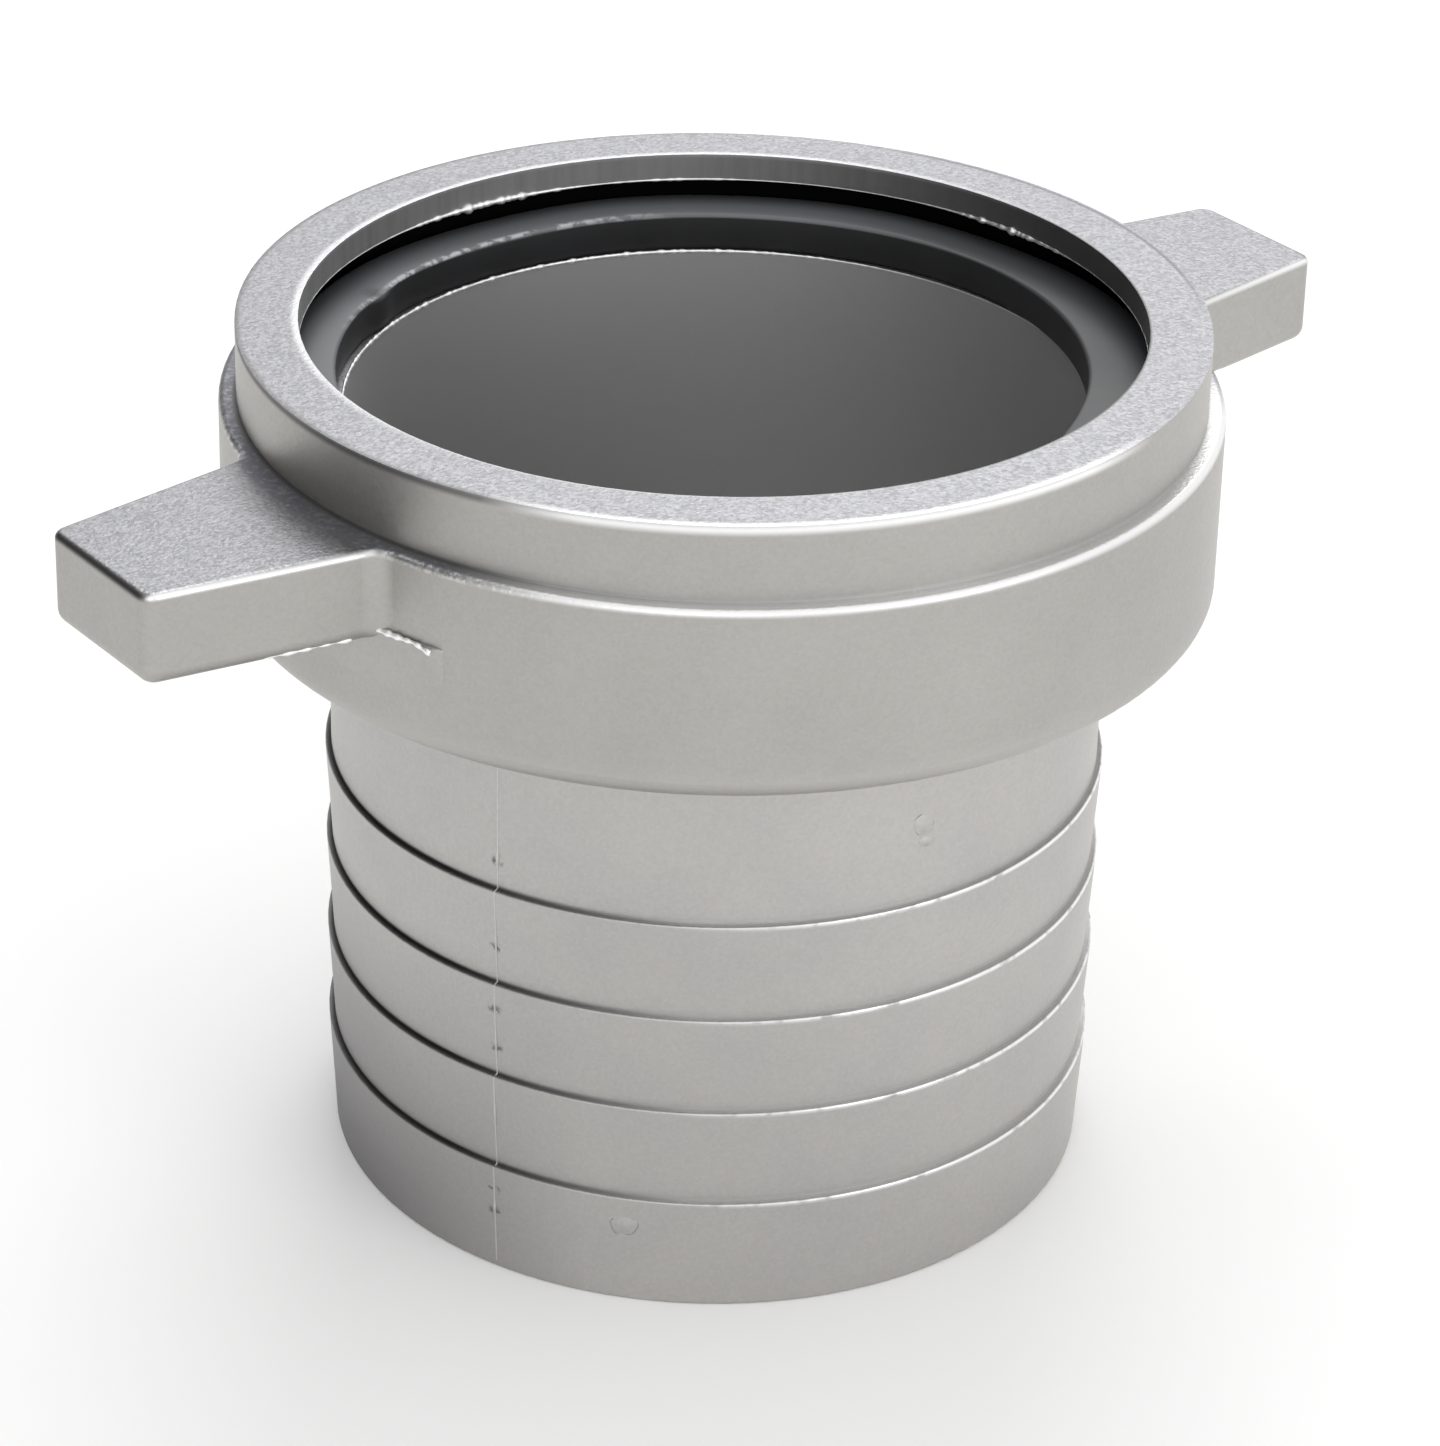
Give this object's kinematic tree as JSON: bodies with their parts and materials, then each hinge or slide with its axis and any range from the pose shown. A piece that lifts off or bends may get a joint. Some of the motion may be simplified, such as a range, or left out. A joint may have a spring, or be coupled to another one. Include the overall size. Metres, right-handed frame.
{
  "type": "lugged swivel hose coupling",
  "caption": "Swivel coupling with a barbed hose tail, a lug nut with two lugs that turns on it, and a rubber washer inside the mouth.",
  "frame": {"origin": "centre of the hose tail's foot, on the coupling's axis, where it stands", "axes": "+Z along the axis, out of the nut's mouth; +X through the two lugs"},
  "size_m": [0.1872, 0.1306, 0.1187],
  "materials": {
    "cast_aluminium": "blasted casting, satin",
    "black_rubber": "smooth moulded"
  },
  "bodies": {
    "tail": {"hose_tail": "cast_aluminium", "sealing_washer": "black_rubber"},
    "nut": {"lug_nut": "cast_aluminium"}
  },
  "joints": [
    {"name": "nut_swivel", "type": "hinge", "parent": "tail", "child": "nut", "pos_m": [0, 0, 0.0995], "axis": [0, 0, 1], "continuous": true}
  ]
}
